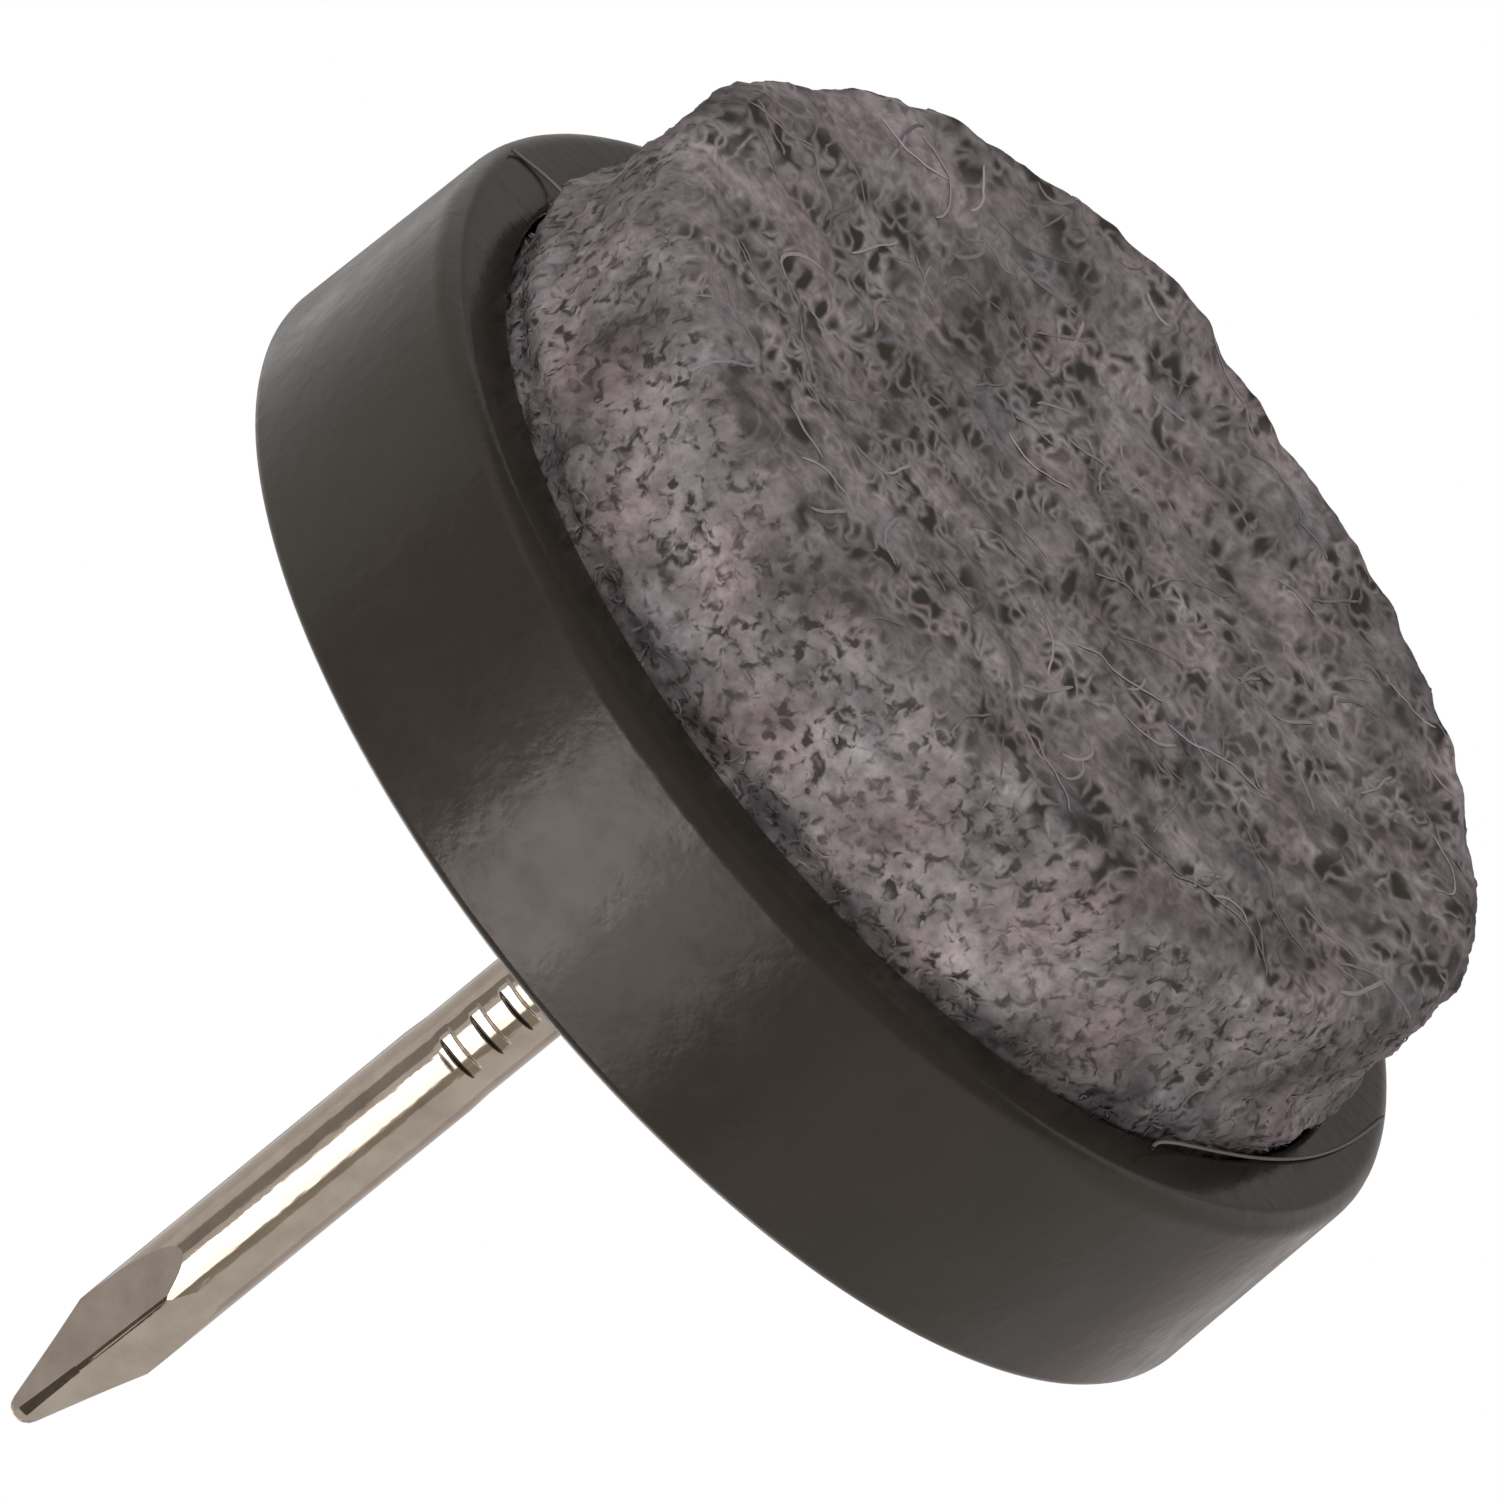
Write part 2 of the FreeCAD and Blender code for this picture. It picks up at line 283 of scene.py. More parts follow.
def noisy(tree, place, scale, detail, roughness=0.5, distortion=0.0):
    """The value of a noise pattern; at a scale of 1000 its grains are about a millimetre wide."""
    return add_node(tree, "ShaderNodeTexNoise",
                    {"Vector": place, "Scale": scale, "Detail": detail, "Roughness": roughness,
                     "Distortion": distortion}).outputs["Fac"]


def remap(tree, value, source, target=(0.0, 1.0), **settings):
    """Carries a value from the source range to the target range."""
    return add_node(tree, "ShaderNodeMapRange",
                    {"Value": value, "From Min": source[0], "From Max": source[1],
                     "To Min": target[0], "To Max": target[1]}, **settings).outputs[0]


def two_tone(tree, value, low, high):
    """A colour that runs between two, each given after the value at which it is reached."""
    ramp = add_node(tree, "ShaderNodeValToRGB", {"Fac": value})
    for stop, (position, colour) in zip(ramp.color_ramp.elements, (low, high)):
        stop.position = position
        stop.color = (*colour, 1)
    return ramp.outputs["Color"]


satin_plastic, tree, shader = new_finish("satin_plastic")
place = add_node(tree, "ShaderNodeTexCoord").outputs["Object"]
blotches = noisy(tree, place, 350.0, 4.0, 0.6)
tone = two_tone(tree, blotches, (0.3, (0.0200, 0.0170, 0.0125)), (0.7, (0.0240, 0.0203, 0.0150)))
tree.links.new(tone, shader.inputs["Base Color"])
shader.inputs["Specular Tint"].default_value = (1.0, 0.90, 0.86, 1)
shader.inputs["Specular IOR Level"].default_value = 0.21
sheen_marks = noisy(tree, place, 900.0, 5.0, 0.65)
tree.links.new(remap(tree, sheen_marks, (0.3, 0.7), (0.14, 0.32)), shader.inputs["Roughness"])
# The mould's shallow sinks make the highlight ragged, and the fine skin dulls it.
sinks = add_node(tree, "ShaderNodeBump",
                 {"Height": noisy(tree, place, 1800.0, 3.0, 0.55), "Strength": 0.5,
                  "Distance": 0.03 * MM})
skin = add_node(tree, "ShaderNodeBump",
                {"Height": noisy(tree, place, 3500.0, 3.0), "Strength": 0.5, "Distance": 0.012 * MM,
                 "Normal": sinks.outputs["Normal"]})
tree.links.new(skin.outputs["Normal"], shader.inputs["Normal"])
base.data.materials.append(satin_plastic)
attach(base, "root")
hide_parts("plastic_base")


# The nail: drawn steel wire, bright nickel plated, with a flat head pressed into the base, a squeezed
# stretch with grip marks across its front and back where the dies held it, a plain shank, and a
# pinched diamond point.
NAIL_SIDES = 96
HEAD_RADIUS, HEAD_BOTTOM, HEAD_TOP = 2.5 * MM, 5.9 * MM, 6.8 * MM
WIRE_RADIUS, GRIP_RADIUS = 1.05 * MM, 1.02 * MM
GRIP_END, GRIP_RELEASE = 17.855 * MM, 0.6 * MM
TIP_HEIGHT = 30.8 * MM
RIDGES_MEET = 31.4 * MM
FRONT_RIDGE, SIDE_RIDGE = 5.3 * MM, 3.5 * MM
FACETS_START = 25 * MM
MARK_DEPTH, MARK_WIDTH, MARK_FLOOR = 0.06 * MM, 0.40 * MM, 0.20 * MM
MARK_PITCH, MARK_COUNT, LAST_MARK = 0.85 * MM, 9, 17.43 * MM
SQUEEZE, SQUEEZE_START = 0.03 * MM, 17.65 * MM
# The dies press fully up to the first angle from the front or back, and not at all past the second.
FULL_PRESS, NO_PRESS = 14, 46
RIDGE_WEAR, EDGE_WEAR, EDGE_ANGLE = 0.12 * MM, 0.04 * MM, math.radians(25)
FACET_TILT = 0.1
CUT_TOLERANCE = SAME_PLACE / 100
# The blunt tip: the heights of its rings, and how much wider or narrower each is made.
TIP_RINGS = (
    (28.8 * MM, 1.02),
    (29.6 * MM, 1.06),
    (30.2 * MM, 1.12),
    (30.5 * MM, 1.15),
    (30.65 * MM, 1.1),
    (30.75 * MM, 0.9),
    (TIP_HEIGHT, 0.5),
)


def read_vectors(mesh, field="co"):
    """The places or normals of a mesh's vertices as an array of rows."""
    values = np.empty(len(mesh.vertices) * 3)
    mesh.vertices.foreach_get(field, values)
    return values.reshape(-1, 3)


def smooth_step(values, low, high):
    """Runs from 0 at low to 1 at high, with level ends."""
    share = np.clip((values - low) / (high - low), 0, 1)
    return share * share * (3 - 2 * share)


def cut(height, facing=(0, 0, 1), **ends):
    """Cuts all of the open mesh along a plane that crosses the axis at that height."""
    bpy.ops.mesh.select_all(action="SELECT")
    bpy.ops.mesh.bisect(plane_co=(0, 0, height), plane_no=facing, threshold=CUT_TOLERANCE, **ends)


def borders_facet(edge):
    """Whether a facet of the point lies on one side of the edge alone."""
    if edge.is_manifold and edge.verts[0].co.z > FACETS_START:
        one, other = edge.link_faces
        return (one.normal.z > FACET_TILT) != (other.normal.z > FACET_TILT)
    return False


bpy.ops.object.select_all(action="DESELECT")
bpy.ops.mesh.primitive_cylinder_add(
    vertices=NAIL_SIDES, radius=HEAD_RADIUS, depth=HEAD_TOP - HEAD_BOTTOM,
    location=(0, 0, (HEAD_TOP + HEAD_BOTTOM) / 2),
)
nail = start_piece("wire_nail")
select("faces", cap_at(HEAD_TOP))
bpy.ops.mesh.inset(thickness=HEAD_RADIUS - GRIP_RADIUS)
bpy.ops.mesh.extrude_region_move(TRANSFORM_OT_translate={"value": (0, 0, GRIP_END - HEAD_TOP)})
bpy.ops.mesh.extrude_region_move(TRANSFORM_OT_translate={"value": (0, 0, GRIP_RELEASE)})
released = WIRE_RADIUS / GRIP_RADIUS
bpy.ops.transform.resize(value=(released, released, 1))
bpy.ops.mesh.extrude_region_move(
    TRANSFORM_OT_translate={"value": (0, 0, RIDGES_MEET - GRIP_END - GRIP_RELEASE)})
for across in (1, -1):
    for along in (1, -1):
        facet = Vector((across * SIDE_RIDGE / WIRE_RADIUS, along * FRONT_RIDGE / WIRE_RADIUS, 1))
        cut(RIDGES_MEET, facet.normalized(), use_fill=True, clear_outer=True)
select("edges", lambda edge: all(abs(end.co.x) < SAME_PLACE and end.co.z > FACETS_START
                                 for end in edge.verts))
bpy.ops.mesh.bevel(offset=RIDGE_WEAR, segments=4, affect="EDGES", clamp_overlap=False)
cut(TIP_HEIGHT, use_fill=True, clear_outer=True)
for height, blunter in TIP_RINGS:
    cut(height)
    select("verts", lambda vert: abs(vert.co.z - height) < SAME_PLACE)
    bpy.ops.transform.resize(value=(blunter, blunter, 1))
bpy.ops.object.mode_set(mode="OBJECT")
worn = nail.modifiers.new("worn", "BEVEL")
worn.width = EDGE_WEAR
worn.segments = 2
worn.limit_method = "ANGLE"
worn.angle_limit = EDGE_ANGLE
bpy.ops.object.modifier_apply(modifier="worn")
bpy.ops.object.mode_set(mode="EDIT")
select("edges", borders_facet)
bpy.ops.mesh.mark_sharp()

# The dies squeeze the wire's front and back a little, and their teeth press shallow troughs across it,
# which follow its round and run out at both ends.
marks = [LAST_MARK - number * MARK_PITCH for number in range(MARK_COUNT)]
cuts = [SQUEEZE_START + share * (GRIP_END - SQUEEZE_START) for share in (0, 0.25, 0.5, 0.75)]
for mark in marks:
    for share in (-0.3, 0, 0.25, 0.5, 0.75, 1, 1.3):
        half = (MARK_FLOOR + share * (MARK_WIDTH - MARK_FLOOR)) / 2
        cuts += [mark - half, mark + half]
for height in cuts:
    cut(height)
bpy.ops.object.mode_set(mode="OBJECT")
points = read_vectors(nail.data)
turned = np.degrees(np.arctan2(np.abs(points[:, 0]), np.abs(points[:, 1])))
pressed = SQUEEZE * (1 - smooth_step(points[:, 2], SQUEEZE_START, GRIP_END))
for mark in marks:
    apart = np.abs(points[:, 2] - mark)
    pressed += MARK_DEPTH * (1 - smooth_step(apart, MARK_FLOOR / 2, MARK_WIDTH / 2))
pressed *= (1 - smooth_step(turned, FULL_PRESS, NO_PRESS)) * (points[:, 2] > HEAD_TOP + SAME_PLACE)
reach = np.maximum(np.hypot(points[:, 0], points[:, 1]), SAME_PLACE)
points[:, :2] *= (1 - pressed / reach)[:, None]
nail.data.vertices.foreach_set("co", points.ravel())
nail.data.update()
bpy.ops.object.shade_smooth_by_angle(angle=SMOOTH_ANGLE, keep_sharp_edges=True)
facets = nail.modifiers.new("facets", "WEIGHTED_NORMAL")
facets.keep_sharp = True
bpy.ops.object.modifier_apply(modifier="facets")

bright_nickel, tree, shader = new_finish("bright_nickel")
place = add_node(tree, "ShaderNodeTexCoord").outputs["Object"]
shader.inputs["Metallic"].default_value = 1.0
drawn = add_node(tree, "ShaderNodeMapping", {"Vector": place, "Scale": (1, 1, 0.06)})
streaks = noisy(tree, drawn.outputs[0], 9000.0, 3.0, 0.6)
# The plating's colour is painted darker than nickel's own, as a painted reflection of dim surroundings,
# and varied a little at random.
tarnish_and_painted_dimness = noisy(tree, place, 900.0, 5.0, 0.6)
tone = two_tone(tree, tarnish_and_painted_dimness, (0.3, (0.28, 0.236, 0.187)), (0.65, (0.37, 0.316, 0.262)))
tree.links.new(tone, shader.inputs["Base Color"])
tree.links.new(remap(tree, streaks, (0.3, 0.7), (0.06, 0.14)), shader.inputs["Roughness"])
dented = add_node(tree, "ShaderNodeMapping", {"Vector": place, "Scale": (1, 1, 0.5)})
ripples = add_node(tree, "ShaderNodeBump",
                   {"Height": noisy(tree, dented.outputs[0], 3000.0, 2.0), "Strength": 1.0,
                    "Distance": 0.008 * MM})
scratches = add_node(tree, "ShaderNodeBump",
                     {"Height": streaks, "Strength": 0.25, "Distance": 0.01 * MM,
                      "Normal": ripples.outputs["Normal"]})
tree.links.new(scratches.outputs["Normal"], shader.inputs["Normal"])
nail.data.materials.append(bright_nickel)
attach(nail, "root")
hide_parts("nail")


# The felt: a thick disc cut from grey needled felt of mixed recycled fibres, glued into the recess. Its
# sole is matted flat and full of small pits, its cut side is short tufts, and its edge has worn
# round and lumpy, prouder at the back than at the front.
FELT_SIDES = 128
FELT_FOOT_RADIUS = 12.05 * MM
FELT_SOLE_RADIUS = 11.8 * MM
FELT_BACK = 5.9 * MM
SOLE_ROUND = 0.8 * MM
FELT_VOXEL = 0.13 * MM
# Where it leaves the recess the felt swells by this share of its width.
FOOT_SWELL, SWELL_HEIGHT, SWELL_REACH = 0.02, 3.6 * MM, 0.5 * MM
# How much prouder the sole's edge stands: degrees round from the x axis, millimetres.
EDGE_LIFTS = (
    (0, 0.2), (20, 0.38), (30, 0.42), (40, 0.76), (45, 0.67), (60, 0.7), (66, 0.92), (71, 0.95),
    (75, 0.92), (81, 1.05), (86, 0.95), (91, 0.63), (96, 0.72), (101, 0.45), (120, 0.5), (140, 0.4),
    (152, 0.12), (165, 0.32), (180, 0.4), (220, 0.0), (320, 0.0), (360, 0.2),
)
LIFT_START, LIFT_FULL, LIFT_TOP = 5 * MM, 11 * MM, 4 * MM
TUFT_RELIEF = 0.12
FELT_COLOUR = np.array((0.195, 0.169, 0.171))
# Painted shade: the dark colour painted into the felt's hollows, where the fibres shade each other.
PIT_SHADE = np.array((0.040, 0.037, 0.030))
WARM_SHIFT = np.array((1.05, 0.985, 0.985))
# Faded and dirty patches: centre, radius, how much lighter or darker.
FELT_PATCHES = (
    ((-7.3, -5.9, 0), 1.8, 0.75),
    ((4.4, 5.0, 0), 1.5, 0.80),
    ((-2.6, -7.3, 0), 1.5, 0.88),
    ((8.0, 6.4, 0), 2.0, 1.15),
    ((1.5, 5.5, 0), 1.5, 1.12),
    ((-8.5, 3.2, 0), 2.0, 1.10),
    ((-2.8, -11.6, 3.0), 1.4, 1.30),
    ((-11.1, -4.4, 3.0), 2.0, 1.20),
    ((11.2, -3.9, 4.0), 1.8, 1.20),
)

bpy.ops.object.select_all(action="DESELECT")
bpy.ops.mesh.primitive_cylinder_add(
    vertices=FELT_SIDES, radius=FELT_FOOT_RADIUS, depth=FELT_BACK, location=(0, 0, FELT_BACK / 2),
)
felt = start_piece("felt_pad_body")
select("edges", ring_at(FELT_FOOT_RADIUS, 0))
tapered = FELT_SOLE_RADIUS / FELT_FOOT_RADIUS
bpy.ops.transform.resize(value=(tapered, tapered, 1))
select("edges", ring_at(FELT_SOLE_RADIUS, 0))
bpy.ops.mesh.bevel(offset=SOLE_ROUND, segments=6, affect="EDGES")
bpy.ops.object.mode_set(mode="OBJECT")
fine = felt.modifiers.new("fine", "REMESH")
fine.mode = "VOXEL"
fine.voxel_size = FELT_VOXEL
bpy.ops.object.modifier_apply(modifier="fine")

points = read_vectors(felt.data)
reach = np.hypot(points[:, 0], points[:, 1])
angle = np.degrees(np.arctan2(points[:, 1], points[:, 0])) % 360
lift = np.interp(angle, *zip(*EDGE_LIFTS)) * MM
points[:, :2] *= 1 + FOOT_SWELL * np.exp(-((points[:, 2:] - SWELL_HEIGHT) / SWELL_REACH) ** 2)
points[:, 2] -= lift * smooth_step(reach, LIFT_START, LIFT_FULL) * smooth_step(points[:, 2], LIFT_TOP, 0)
felt.data.vertices.foreach_set("co", points.ravel())
for name, size, strength in (("lumps", 4.0, 0.45), ("swells", 1.2, 0.30)):
    cloud = bpy.data.textures.new(name, "CLOUDS")
    cloud.noise_scale = size * MM
    cloud.noise_depth = 2
    relief = felt.modifiers.new(name, "DISPLACE")
    relief.texture = cloud
    relief.texture_coords = "LOCAL"
    relief.strength = strength * MM
    relief.mid_level = 0.5
    bpy.ops.object.modifier_apply(modifier=name)
bpy.ops.object.shade_smooth()


def grain(places, size, shift=0):
    """Smooth noise from about -1 to 1, with grains of about that many millimetres.

    Each shift gives a pattern of its own.
    """
    return np.array([noise.noise(place) for place in ((places + shift) / (size * MM)).tolist()])


points = read_vectors(felt.data)
normals = read_vectors(felt.data, "normal")
flat = smooth_step(-normals[:, 2], 0.4, 0.8)
# The cropped tufts of the side stand proud of each other, and the matting is open here and closed
# there.
tufts = grain(points, 0.42, shift=2) + 0.5 * grain(points, 0.22, shift=3)
points += normals * ((1 - flat) * TUFT_RELIEF * tufts)[:, None] * MM
felt.data.vertices.foreach_set("co", points.ravel())
least_open = 0.7 - 0.3 * flat
openness = least_open + (1 - least_open) * smooth_step(grain(points, 1.6, shift=7), -0.4, 0.2)

# The side is painted darker than the sole, as painted shade, and both are clouded at random.
brightness = 1 + 0.42 * grain(points, 2.8)
brightness += 0.50 * grain(points, 1.3, shift=4)
brightness += 0.35 * grain(points, 0.6, shift=8)
# Painted shade: the side's colour is darkened against the sole's.
brightness *= 0.83 + 0.17 * flat
for centre, radius, change in FELT_PATCHES:
    apart = np.linalg.norm(points - np.array(centre) * MM, axis=1)
    brightness *= change ** np.exp(-(apart / (radius * MM)) ** 2)
warmth = WARM_SHIFT ** (1.5 * grain(points, 2.0, shift=5))[:, None]
shade = FELT_COLOUR * brightness[:, None] * warmth
# The alpha of this attribute holds how open the matting is, which scales the hollows and their painted
# shade.
tone = felt.data.color_attributes.new("felt_tone", "FLOAT_COLOR", "POINT")
tone.data.foreach_set("color", np.concatenate([shade, openness[:, None]], axis=1).ravel())

felt_fill, tree, shader = new_finish("felt_fill")
place = add_node(tree, "ShaderNodeTexCoord").outputs["Object"]
tone = add_node(tree, "ShaderNodeAttribute", attribute_name="felt_tone")
tufted = noisy(tree, place, 3400.0, 3.0, 0.6)
speckle = remap(tree, tufted, (0.32, 0.68), (0.72, 1.22))
plates = add_node(tree, "ShaderNodeVectorMath",
                  {0: tone.outputs["Color"], "Scale": speckle}, operation="SCALE")
# On the side, small gaps lie between the tufts, and they are painted dark as painted shade.
gaps = noisy(tree, place, 3200.0, 2.0, 0.55, distortion=0.5)
side_hollow = remap(tree, gaps, (0.51, 0.32), interpolation_type="SMOOTHSTEP")
# On the sole, soft strands cross with hollows between them, drawn out along the felt's lay; the hollows
# are painted dark as painted shade.
laid = add_node(tree, "ShaderNodeMapping", {"Vector": place, "Scale": (1, 0.5, 1)})
strands = []
for scale in (1500.0, 2200.0):
    field = noisy(tree, laid.outputs[0], scale, 0.8, distortion=0.15)
    middle_line = add_node(tree, "ShaderNodeMath", {0: field, 1: 0.5}, operation="SUBTRACT")
    apart = add_node(tree, "ShaderNodeMath", {0: middle_line.outputs[0]}, operation="ABSOLUTE")
    strands.append(remap(tree, apart.outputs[0], (0.0, 0.14), interpolation_type="SMOOTHSTEP"))
sole_hollow = add_node(tree, "ShaderNodeMath", {0: strands[0], 1: strands[1]}, operation="MINIMUM")
facing = add_node(tree, "ShaderNodeSeparateXYZ",
                  {0: add_node(tree, "ShaderNodeNewGeometry").outputs["Normal"]})
sole = remap(tree, facing.outputs["Z"], (-0.45, -0.85))
hollow = add_node(tree, "ShaderNodeMix", {0: sole, 2: side_hollow, 3: sole_hollow.outputs[0]})
hollow = add_node(tree, "ShaderNodeMath",
                  {0: hollow.outputs[0], 1: tone.outputs["Alpha"]}, operation="MULTIPLY")
# The hollows are painted in that dark colour as painted shade; they also set the bump below.
mixed = add_node(tree, "ShaderNodeMix",
                 {0: hollow.outputs[0], 6: plates.outputs[0], 7: (*PIT_SHADE, 1)}, data_type="RGBA")
tree.links.new(mixed.outputs[2], shader.inputs["Base Color"])
height = add_node(tree, "ShaderNodeMath",
                  {0: hollow.outputs[0], 1: -1.2, 2: tufted}, operation="MULTIPLY_ADD")
nap = add_node(tree, "ShaderNodeBump",
               {"Height": height.outputs[0], "Strength": 0.4, "Distance": 0.07 * MM})
tree.links.new(nap.outputs["Normal"], shader.inputs["Normal"])
shader.inputs["Roughness"].default_value = 0.95
shader.inputs["Specular IOR Level"].default_value = 0.05
felt.data.materials.append(felt_fill)
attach(felt, "root")
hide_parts("felt_pad")

felt_fibre, tree, shader = new_finish("felt_fibre")
tint = add_node(tree, "ShaderNodeAttribute", attribute_name="fibre_tint")
tree.links.new(tint.outputs["Color"], shader.inputs["Base Color"])
shader.inputs["Roughness"].default_value = 0.9
shader.inputs["Specular IOR Level"].default_value = 0.05

# Fibres: each is a flat ribbon with a raised middle that wanders over the felt, a little above or below
# its skin. Neighbours lie in like directions and take the felt's shade, so that they mat together.
chance = np.random.default_rng(28)
felt.data.calc_loop_triangles()
skin_faces = np.empty(len(felt.data.loop_triangles) * 3, dtype=np.int64)
felt.data.loop_triangles.foreach_get("vertices", skin_faces)
skin_faces = skin_faces.reshape(-1, 3)
skin = BVHTree.FromPolygons(points.tolist(), skin_faces.tolist())
spots = points[skin_faces].mean(axis=1)
outwards = np.cross(points[skin_faces[:, 1]] - points[skin_faces[:, 0]],
                    points[skin_faces[:, 2]] - points[skin_faces[:, 0]])
spot_areas = np.linalg.norm(outwards, axis=1)
outwards = outwards / spot_areas[:, None]
spot_shade = shade[skin_faces].mean(axis=1)
lie = (2 * math.pi * grain(points, 3.5, shift=6))[skin_faces[:, 0]]
FIBRE_END, RIBBON_RIDGE = 0.4, 0.5
WAVE_TURN = 1.9
CURL_KEPT, CURL_CHANGE = 0.9, 0.6
CELL_MARGIN = 0.06
SOLE_FACING, SIDE_FACING = -0.75, -0.8
SOLE_TOP, FOOT_BOTTOM, FOOT_TOP = 1.6 * MM, 3.7 * MM, 4.6 * MM
DYE_SPREAD = (0.9, 1.1)
FIBRE_DYES = np.array([
    (1.00, 1.00, 1.00),
    (1.08, 1.08, 1.09),
    (0.92, 0.92, 0.92),
    (0.75, 0.75, 0.73),
    (1.10, 1.02, 0.98),
    (0.94, 0.98, 1.03),
    (1.30, 1.32, 1.32),
])
FIBRE_SHARES = np.array([0.36, 0.19, 0.19, 0.06, 0.09, 0.08, 0.03])


def lay_fibres(name, region, count, knots, length, bend, wave, lift, stand, radius, scatter, lighter):
    """Makes a piece of many fibres that start in a region of the felt and follow its skin."""
    share = spot_areas * region(spots, outwards)
    starts = chance.choice(len(spots), size=count, p=share / share.sum())
    paths = np.empty((count, knots, 3))
    outs = np.empty((count, knots, 3))
    for fibre, start in enumerate(starts):
        at, out = Vector(spots[start]), Vector(outwards[start])
        step = chance.uniform(*length) * MM / (knots - 1)
        heading = out.orthogonal().normalized()
        heading.rotate(Matrix.Rotation(lie[start] + chance.normal(0, scatter), 3, out))
        curl = chance.normal(0, bend)
        rise = chance.uniform(*lift) * MM
        climb = chance.uniform(0, stand) * MM / (knots - 1)
        phase = chance.uniform(0, 2 * math.pi)
        for knot in range(knots):
            height = rise + climb * knot + wave * MM * math.sin(phase + WAVE_TURN * knot)
            paths[fibre, knot] = at + out * height
            outs[fibre, knot] = out
            curl = CURL_KEPT * curl + chance.normal(0, bend * CURL_CHANGE)
            heading.rotate(Matrix.Rotation(curl, 3, out))
            heading = (heading - out * heading.dot(out)).normalized()
            at, out, _, _ = skin.find_nearest(at + heading * step)
    along = np.gradient(paths, axis=1)
    along /= np.linalg.norm(along, axis=2)[:, :, None]
    sideways = np.cross(along, outs)
    sideways /= np.linalg.norm(sideways, axis=2)[:, :, None]
    upward = np.cross(sideways, along)
    thick = chance.uniform(*radius, size=count)[:, None] * MM * np.ones(knots)
    thick[:, [0, -1]] *= FIBRE_END
    ridge = np.stack([-sideways, RIBBON_RIDGE * upward, sideways], axis=2)
    rings = paths[:, :, None] + ridge * thick[:, :, None, None]
    number = np.arange(count * knots * 3).reshape(count, knots, 3)
    slopes = np.stack([number[:, :-1, :-1], number[:, :-1, 1:], number[:, 1:, 1:], number[:, 1:, :-1]],
                      axis=-1)
    mesh = bpy.data.meshes.new(name)
    mesh.from_pydata(rings.reshape(-1, 3).tolist(), [], slopes.reshape(-1, 4).tolist())

    # Each fibre has its own cell of the OFBake map.
    cells = math.ceil(math.sqrt(count))
    cell = np.stack(np.divmod(np.arange(count), cells), axis=1)[:, None, None, None, :]
    knot, slope = np.meshgrid(np.arange(knots - 1), np.arange(2), indexing="ij")
    spread = np.array([(0, 0), (0, 1), (1, 1), (1, 0)])
    in_cell = np.stack([
        (knot[..., None] + spread[:, 0]) / (knots - 1),
        (slope[..., None] + spread[:, 1]) / 2,
    ], axis=-1)
    bake_map = mesh.uv_layers.new(name="OFBake")
    corners = (cell + CELL_MARGIN + (1 - 2 * CELL_MARGIN) * in_cell[None]) / cells
    bake_map.data.foreach_set("uv", corners.ravel())

    dyes = FIBRE_DYES[chance.choice(len(FIBRE_DYES), size=count, p=FIBRE_SHARES)]
    colours = spot_shade[starts] * dyes * chance.uniform(*DYE_SPREAD, size=(count, 1)) * lighter
    tint = mesh.color_attributes.new("fibre_tint", "FLOAT_COLOR", "POINT")
    values = np.ones((count, knots * 3, 4))
    values[:, :, :3] = colours[:, None, :]
    tint.data.foreach_set("color", values.ravel())
    mesh.shade_smooth()
    piece = bpy.data.objects.new(name, mesh)
    scene.collection.objects.link(piece)
    mesh.materials.append(felt_fibre)
    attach(piece, "root")


def on_sole(places, facing):
    """The flat of the sole."""
    return ((facing[:, 2] < SOLE_FACING) & (places[:, 2] < SOLE_TOP)).astype(float)


def on_side(places, facing):
    """The cut side that stands out of the rim."""
    return ((facing[:, 2] > SIDE_FACING) & (places[:, 2] < FOOT_TOP)).astype(float)


def at_foot(places, facing):
    """The strip of the side just under the rim."""
    return ((places[:, 2] > FOOT_BOTTOM) & (places[:, 2] < FOOT_TOP)).astype(float)


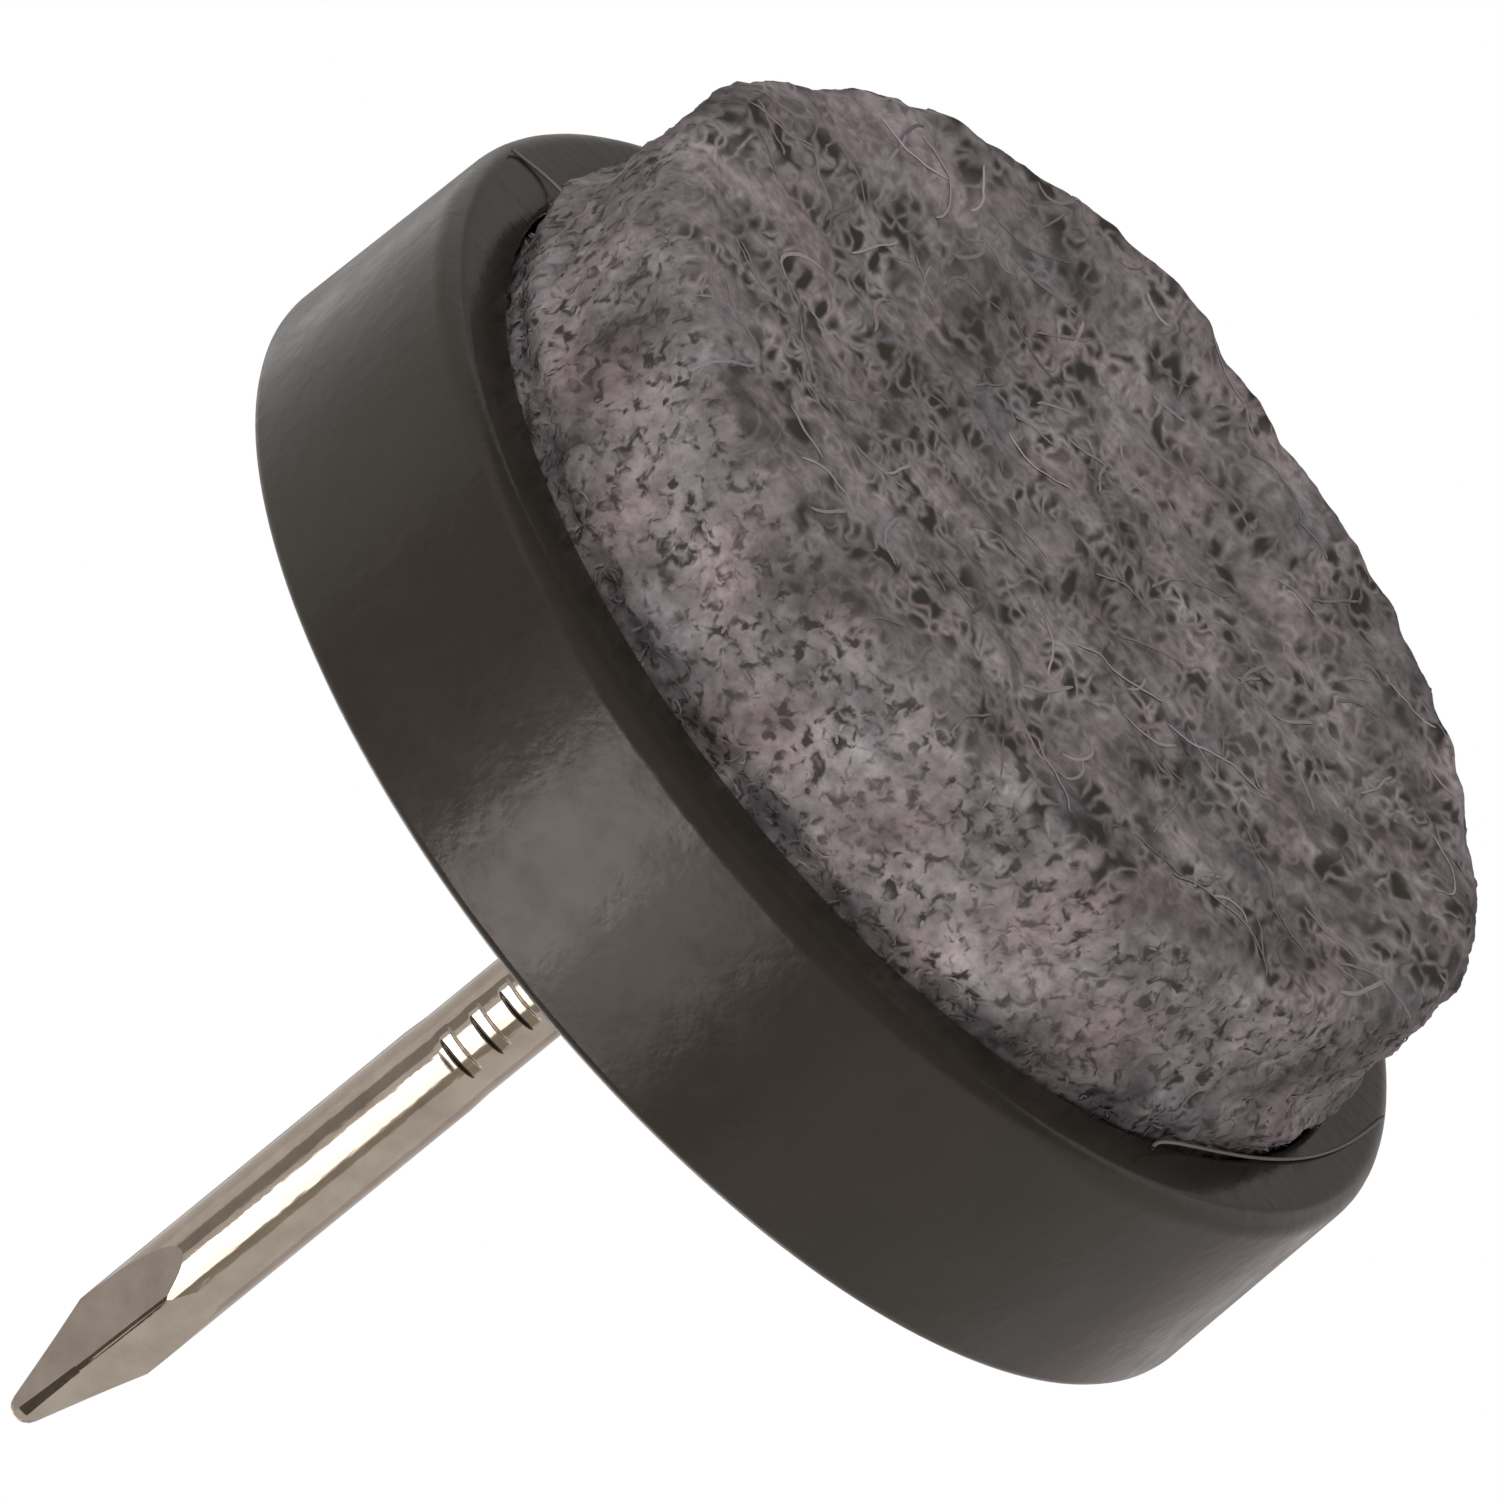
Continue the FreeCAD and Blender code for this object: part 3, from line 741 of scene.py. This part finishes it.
# Lengths, waves, lifts, stands and radii are millimetres.
lay_fibres("felt_sole_strands", on_sole, count=110, knots=10, length=(0.8, 2.2), bend=0.12, wave=0.005,
           lift=(0.0, 0.015), stand=0, radius=(0.030, 0.050), scatter=0.8, lighter=1.0)
lay_fibres("felt_sole_hairs", on_sole, count=25, knots=16, length=(1.5, 3.5), bend=0.07, wave=0.005,
           lift=(0.01, 0.03), stand=0, radius=(0.024, 0.034), scatter=1.0, lighter=1.25)
lay_fibres("felt_side_tufts", on_side, count=300, knots=4, length=(0.12, 0.3), bend=0.5, wave=0.01,
           lift=(-0.01, 0.02), stand=0.05, radius=(0.030, 0.050), scatter=3.0, lighter=1.0)
lay_fibres("felt_foot_fringe", at_foot, count=450, knots=5, length=(0.2, 0.45), bend=0.4, wave=0.01,
           lift=(-0.02, 0.03), stand=0.15, radius=(0.018, 0.034), scatter=3.0, lighter=0.95)

# Loose fibres that have slipped out of the felt's foot onto the rim.
STRAY_RADIUS = 0.04 * MM
STRAY_COLOUR = (0.19, 0.17, 0.155, 1.0)
for name, path in (
    ("felt_stray_long", ((-9.4, -8.7, 4.1), (-9.2, -7.0, 4.35), (-12.5, -4.2, 4.35), (-12.9, -1.0, 4.35),
                         (-13.3, 2.3, 4.35))),
    ("felt_stray_back", ((13.5, 1.75, 4.36), (13.1, 1.9, 4.36), (12.8, 2.1, 4.36), (12.4, 2.1, 4.3),
                         (12.1, 1.85, 4.2))),
):
    bpy.ops.object.select_all(action="DESELECT")
    bpy.ops.curve.primitive_nurbs_path_add()
    stray = bpy.context.object
    for point, place in zip(stray.data.splines[0].points, path):
        point.co = (*(Vector(place) * MM), 1)
    stray.data.bevel_depth = STRAY_RADIUS
    stray.data.bevel_resolution = 1
    bpy.ops.object.convert(target="MESH")
    stray = bpy.context.object
    stray.name = name
    stray.data.name = name
    tint = stray.data.color_attributes.new("fibre_tint", "FLOAT_COLOR", "POINT")
    tint.data.foreach_set("color", np.tile(STRAY_COLOUR, len(stray.data.vertices)))
    stray.data.materials.append(felt_fibre)
    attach(stray, "root")
